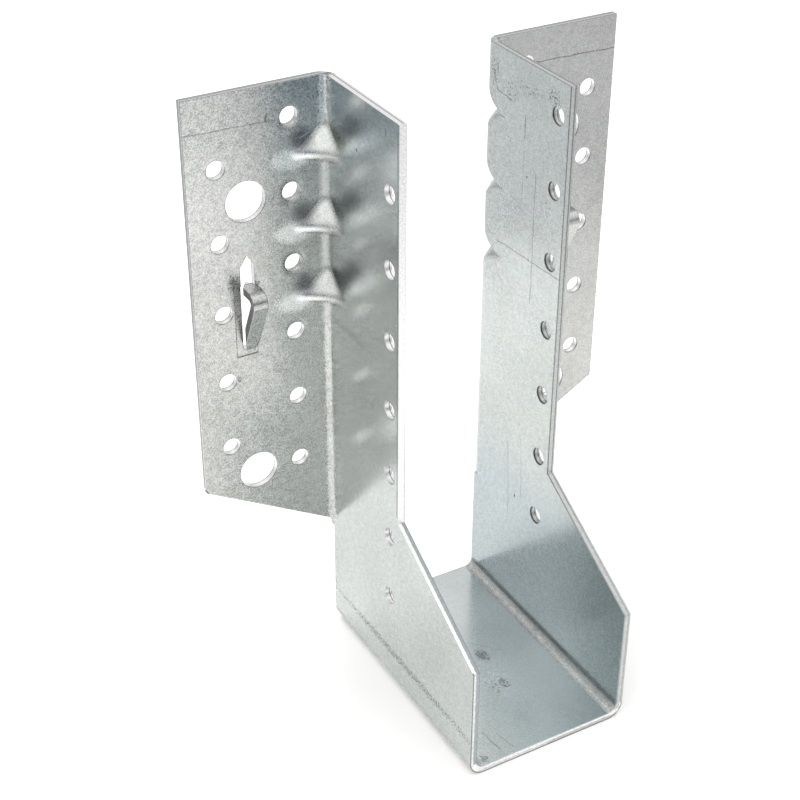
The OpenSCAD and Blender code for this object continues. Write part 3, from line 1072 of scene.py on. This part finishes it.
@dataclass(frozen=True)
class ZincFinish:
    """Hot-dip zinc on rolled steel sheet that was sheared, punched and folded."""

    plate_tone: Colour = (0.505, 0.540, 0.528, 1.0)
    flange_tone: Colour = (0.565, 0.575, 0.558, 1.0)
    seat_tone: Colour = (0.625, 0.662, 0.664, 1.0)
    fold_tone: Colour = (0.610, 0.622, 0.605, 1.0)
    fold_rise: Span = (3.1, 3.9)
    fold_share: float = 0.85
    # Painted reflection: the right plate's inner face turns darker and bluer towards its foot.
    foot_reflection_tone: Colour = (0.458, 0.524, 0.545, 1.0)
    foot_rise: Span = (40.0, 62.0)
    foot_share: float = 0.8
    stain_tone: Colour = (0.090, 0.095, 0.100, 1.0)
    scratch_tone: Colour = (0.860, 0.850, 0.850, 1.0)
    roughness: float = 0.21
    flange_roughness: float = 0.27
    sheared_roughness: float = 0.34
    torn_roughness: float = 0.16
    grain_roughness: float = 0.10
    mark_roughness: float = 0.25
    fold_roughness: float = 0.42
    edge_round_mm: float = 0.45
    bead_round_mm: float = 2.3
    relief_mm: float = 0.018
    relief_strength: float = 0.6
    spangle: SpangleFinish = field(default_factory=SpangleFinish)
    edges: EdgeFinish = field(default_factory=EdgeFinish)
    painted_reflections: PaintedReflections = field(default_factory=PaintedReflections)
    bead_light: BeadShadeAndHighlight = field(default_factory=BeadShadeAndHighlight)
    handling: Handling = field(default_factory=Handling)

    def make(self, name: str, sizes: HangerSizes, effects: SharedEffects) -> bpy.types.Material:
        """Builds the material.

        Args:
            name: The material's name.
            sizes: Sizes of the folded sheet.
            effects: The shared node groups.

        Returns:
            The finished material.
        """
        material = bpy.data.materials.new(name)
        material.use_nodes = True
        material.node_tree.nodes.clear()
        g = Graph(material.node_tree)
        at = SheetRegions.find(g, sizes)
        layers = self.spangle.layers(g, at, effects)
        share = self.spangle.share(g, sizes, at)
        faces = self.edges.faces(g, sizes, at)
        depth = self.edges.depth(g, sizes, at)
        dark, light = self.handling.marks(g, sizes, at, effects)
        streak = g.noise(at.place, 1.8, 1.0, 0.75)

        tone = self._skin_tone(g, sizes, at)
        tone = g.blend(1.0, tone, g.grey(self.spangle.swing(g, sizes, at, layers, share)), "MULTIPLY")
        # Painted shade and light: shade beside the beads, highlights on their lips and slow tone factors over the
        # sheet stand in for reflections.
        bead_shade, lift = self.bead_light.factor(g, sizes, at, effects)
        painted_shading = g.scaled(bead_shade, g.both(lift, self.painted_reflections.factor(g, at)))
        tone = g.blend(1.0, tone, painted_shading, "MULTIPLY")
        tone = g.blend(dark, tone, self.stain_tone)
        tone = g.blend(light, tone, self.scratch_tone)
        rolled = g.number(g.either(at.flange, g.under(at.z, sizes.seat_bend_top), at.left), depth.inset, 1.0)
        edge_tone = self.edges.tone(g, sizes, at, faces, depth, streak)
        tone = g.blend(g.both(faces.cut, rolled), tone, edge_tone)

        fine, mottle = layers[:2]
        rough = g.number(at.flange, self.roughness, self.flange_roughness)
        rough = g.math("ADD", rough, g.both(g.centred(fine), self.grain_roughness))
        rough = g.math("ADD", rough, g.both(dark, self.mark_roughness))
        rough = g.math("ADD", rough, g.both(at.fold, self.fold_roughness))
        rough = g.number(
            faces.cut, rough, g.math("MULTIPLY_ADD", depth.torn, self.torn_roughness, self.sheared_roughness)
        )
        height = g.both(g.math("MULTIPLY_ADD", mottle, 0.6, fine), share, 0.5)
        height = g.math("ADD", height, g.both(faces.cut, streak, 1.2))
        inputs = {
            "Base Color": tone,
            "Metallic": 1.0,
            "Roughness": rough,
            "Normal": self._relief(g, at, height),
        }
        shader = g.add("ShaderNodeBsdfPrincipled", inputs)
        g.add("ShaderNodeOutputMaterial", {"Surface": shader.outputs[0]})
        return material

    def _skin_tone(self, g: Graph, sizes: HangerSizes, at: SheetRegions) -> Socket:
        """Colours the zinc skin.

        Args:
            g: The material's graph.
            sizes: Sizes of the folded sheet.
            at: The regions of the sheet.

        Returns:
            The colour, before grain, painted shading and marks.
        """
        tone = g.blend(at.seat, g.blend(at.flange, self.plate_tone, self.flange_tone), self.seat_tone)
        tone = g.blend(g.both(at.fold, g.ramp(at.z, *self.fold_rise, self.fold_share, 0.0)), tone, self.fold_tone)
        # Painted reflection: darker and bluer low on the right plate's inner face.
        foot = g.both(
            g.over(at.x, sizes.plate_inner - 0.2),
            g.under(at.x, sizes.plate_inner + TOUCH),
            g.ramp(at.z, *self.foot_rise, self.foot_share, 0.0),
        )
        return g.blend(foot, tone, self.foot_reflection_tone)

    def _relief(self, g: Graph, at: SheetRegions, height: Socket) -> Socket:
        """Rounds the edges softly and raises the grain.

        Args:
            g: The material's graph.
            at: The regions of the sheet.
            height: The height of the grain.

        Returns:
            The normal.
        """
        radius = g.number(at.bead, self.edge_round_mm * MM, self.bead_round_mm * MM)
        rounded = g.add("ShaderNodeBevel", {"Radius": radius}, samples=4).outputs["Normal"]
        inputs = {
            "Strength": self.relief_strength,
            "Distance": self.relief_mm * MM,
            "Height": height,
            "Normal": rounded,
        }
        return g.add("ShaderNodeBump", inputs).outputs["Normal"]


@dataclass
class FoldedSheet:
    """The hanger itself: seat, side plates and flanges of one folded sheet."""

    node: str = "hanger"
    sizes: HangerSizes = field(default_factory=HangerSizes)
    finish: ZincFinish = field(default_factory=ZincFinish)

    def dress(self, nodes: dict[str, bpy.types.Object], effects: SharedEffects) -> bpy.types.Object:
        """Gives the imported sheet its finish.

        Args:
            nodes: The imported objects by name.
            effects: The shared node groups.

        Returns:
            The dressed object.
        """
        sheet = nodes[self.node]
        material = self.finish.make("galvanised_sheet_steel", self.sizes, effects)
        for slot in sheet.material_slots:
            slot.material = material
        return sheet


@dataclass(frozen=True)
class Card:
    """A wide card on the floor that only the metal sees, in metres."""

    name: str
    near_middle: tuple[float, float]
    heading_deg: float
    tone: Colour
    half_width: float = 0.42
    length: float = 2.4
    lift: float = 0.002

    def corners(self) -> list[Point]:
        """Finds the corners of the card.

        Returns:
            The four corners in order.
        """
        heading = math.radians(self.heading_deg)
        out = Vector((math.cos(heading), math.sin(heading), 0.0))
        side = Vector((-out.y, out.x, 0.0)) * self.half_width
        near = Vector((*self.near_middle, self.lift))
        far = near + out * self.length
        return [tuple(v) for v in (near - side, far - side, far + side, near + side)]


DARK_CARD: Colour = (0.14, 0.22, 0.30, 1.0)
GREY_CARD: Colour = (0.62, 0.62, 0.63, 1.0)
CARDS = (
    Card("shade_card", (-0.1525, -0.264), 240.0, DARK_CARD),
    Card("back_card", (-0.095, 0.215), 117.0, GREY_CARD),
    Card("right_card", (0.145, -0.165), -37.0, GREY_CARD),
)


@dataclass
class Studio:
    """A pale floor, an overhead light tent and the darker side of the room behind the camera."""

    floor_half: float = 8.0
    floor_tone: Colour = (0.935, 0.925, 0.918, 1.0)
    tent_tone: Colour = (1.0, 1.0, 1.0, 1.0)
    tent_strength: float = 1.30
    low_strength: float = 0.62
    front_strength: float = 0.05
    camera_side: Point = (-0.50, -0.87, 0.0)
    window: Point = (-0.75, -0.30, 0.59)
    window_strength: float = 0.60
    lamp_place: Point = (-0.10, 0.12, 0.85)
    lamp_size: tuple[float, float] = (1.0, 0.9)
    lamp_power: float = 4.0

    def flat_piece(self, name: str, corners: list[Point], tone: Colour) -> bpy.types.Object:
        """Makes a flat piece of the stage.

        Args:
            name: The piece's name.
            corners: Its four corners in metres.
            tone: Its colour.

        Returns:
            The piece.
        """
        mesh = bpy.data.meshes.new(name)
        mesh.from_pydata(corners, [], [(0, 1, 2, 3)])
        piece = bpy.data.objects.new(name, mesh)
        bpy.context.scene.collection.objects.link(piece)
        material = bpy.data.materials.new(name + "_paper")
        material.use_nodes = True
        shader = material.node_tree.nodes["Principled BSDF"]
        shader.inputs["Base Color"].default_value = tone
        shader.inputs["Roughness"].default_value = 0.9
        shader.inputs["Specular IOR Level"].default_value = 0.0
        mesh.materials.append(material)
        return piece

    def floor(self) -> bpy.types.Object:
        """Lays the floor.

        Returns:
            The floor.
        """
        w = self.floor_half
        corners = [(-w, -w, 0), (w, -w, 0), (w, w, 0), (-w, w, 0)]
        return self.flat_piece("studio_floor", corners, self.floor_tone)

    def cards(self) -> list[bpy.types.Object]:
        """Lays the cards that shape the reflections.

        Returns:
            The cards, the one below the camera first.
        """
        laid = [self.flat_piece(card.name, card.corners(), card.tone) for card in CARDS]
        for piece in laid:
            piece.visible_camera = piece.visible_diffuse = piece.visible_shadow = False
        return laid

    def tent(self) -> bpy.types.World:
        """Makes the soft light that comes from all round.

        Returns:
            The scene's world.
        """
        world = bpy.data.worlds.new("light_tent")
        world.use_nodes = True
        bpy.context.scene.world = world
        g = Graph(world.node_tree)
        world.node_tree.nodes.clear()
        way = g.add("ShaderNodeTexCoord").outputs["Generated"]
        rise = g.parts(way)[2]
        front = g.ramp(g.vector("DOT_PRODUCT", way, self.camera_side, result="Value"), 0.1, 0.9)
        low = g.number(front, self.low_strength, self.front_strength)
        shine = g.number(g.ramp(rise, 0.05, 0.90), low, self.tent_strength)
        pane = g.ramp(g.vector("DOT_PRODUCT", way, self.window, result="Value"), 0.80, 0.98)
        shine = g.math("MULTIPLY_ADD", pane, self.window_strength, shine)
        seen = g.add("ShaderNodeLightPath").outputs["Is Camera Ray"]
        shine = g.number(seen, shine, self.tent_strength)
        sky = g.add("ShaderNodeBackground", {"Color": self.tent_tone, "Strength": shine})
        g.add("ShaderNodeOutputWorld", {"Surface": sky.outputs[0]})
        return world

    def overhead(self) -> bpy.types.Object:
        """Hangs a wide soft lamp over the floor.

        Returns:
            The lamp.
        """
        data = bpy.data.lights.new("overhead_lamp", "AREA")
        data.shape, data.energy = "RECTANGLE", self.lamp_power
        data.size, data.size_y = self.lamp_size
        lamp = bpy.data.objects.new("overhead_lamp", data)
        lamp.location = self.lamp_place
        lamp.visible_glossy = False
        lamp.rotation_euler = (-Vector(self.lamp_place)).to_track_quat("-Z", "Y").to_euler()
        bpy.context.scene.collection.objects.link(lamp)
        return lamp


@dataclass(frozen=True)
class ViewCamera:
    """The camera, turned round the hanger and raised above it."""

    azimuth_deg: float = -29.91
    elevation_deg: float = 32.41
    roll_deg: float = 0.254
    distance: float = 0.4713
    aim: Point = (0.0, 0.0418, 0.0658)
    lens_mm: float = 74.69
    sensor_mm: float = 36.0
    clip: tuple[float, float] = (0.01, 20.0)

    def build(self) -> bpy.types.Object:
        """Places the camera and makes it the scene's own.

        Returns:
            The camera object.
        """
        azimuth, elevation = math.radians(self.azimuth_deg), math.radians(self.elevation_deg)
        level = math.cos(elevation)
        back = Vector((math.sin(azimuth) * level, -math.cos(azimuth) * level, math.sin(elevation)))
        data = bpy.data.cameras.new("view_camera")
        data.lens, data.sensor_width = self.lens_mm, self.sensor_mm
        data.clip_start, data.clip_end = self.clip
        camera = bpy.data.objects.new("view_camera", data)
        turn = (-back).to_track_quat("-Z", "Y").to_matrix().to_4x4()
        roll = Matrix.Rotation(math.radians(self.roll_deg), 4, "Z")
        camera.matrix_world = Matrix.Translation(Vector(self.aim) + back * self.distance) @ turn @ roll
        bpy.context.scene.collection.objects.link(camera)
        bpy.context.scene.camera = camera
        return camera


def main() -> None:
    """Builds the scene in order and reports each piece."""
    logging.basicConfig(level=logging.INFO, format="%(name)s: %(message)s")
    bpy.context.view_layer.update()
    bpy.context.scene.view_settings.view_transform = "Standard"
    LOG.info("camera %s", ViewCamera().build().name)
    studio = Studio()
    for piece in (studio.floor(), *studio.cards(), studio.overhead()):
        LOG.info("stage %s", piece.name)
    LOG.info("light %s", studio.tent().name)
    LOG.info("dressed %s", FoldedSheet().dress(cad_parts, SharedEffects()).name)


if __name__ == "__main__":
    main()
